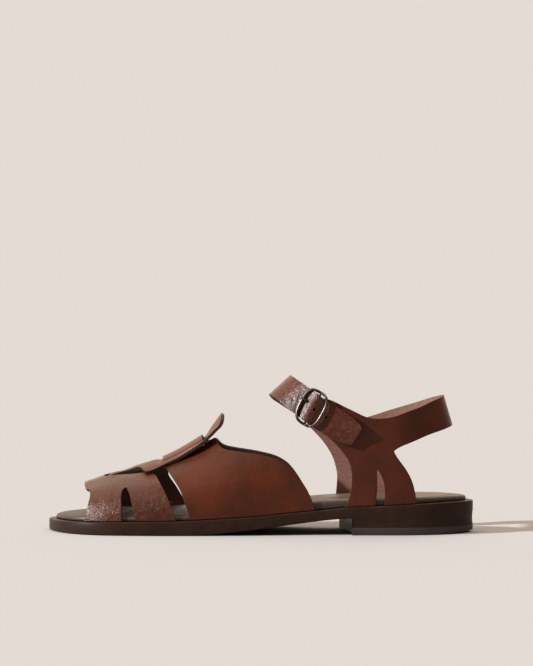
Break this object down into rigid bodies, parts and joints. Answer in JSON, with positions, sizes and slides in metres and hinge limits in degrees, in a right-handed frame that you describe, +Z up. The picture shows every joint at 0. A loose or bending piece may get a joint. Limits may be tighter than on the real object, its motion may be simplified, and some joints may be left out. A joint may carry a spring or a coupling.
{
  "type": "fisherman sandal",
  "caption": "Left leather fisherman sandal: open toe band, woven tongue and side panels, slit heel quarters, buckled ankle strap, low stacked heel.",
  "frame": {"origin": "bottom centre of the whole shoe's box, on the floor under the middle of the sole", "axes": "+X towards the heel along the sole's length, -X to the toe, -Y to the outer side, +Z up from the floor"},
  "size_m": [0.264, 0.0939, 0.0978],
  "materials": {
    "upper_leather": "chestnut brown full-grain leather, semi-gloss, dark painted edges",
    "insole_leather": "taupe lining leather, satin",
    "sole_leather": "dark brown burnished leather edge",
    "lift_rubber": "dark brown rubber top lift",
    "gunmetal": "polished gunmetal plating"
  },
  "bodies": {
    "root": {"outsole": "sole_leather", "midsole": "sole_leather", "heel_stack": "sole_leather", "top_lift": "lift_rubber", "insole": "insole_leather", "toe_band": "upper_leather", "tongue": "upper_leather", "vamp": "upper_leather", "heel_quarters": "upper_leather", "ankle_strap": "upper_leather", "buckle_fold": "upper_leather", "buckle_frame": "gunmetal", "buckle_prong": "gunmetal"}
  },
  "joints": []
}
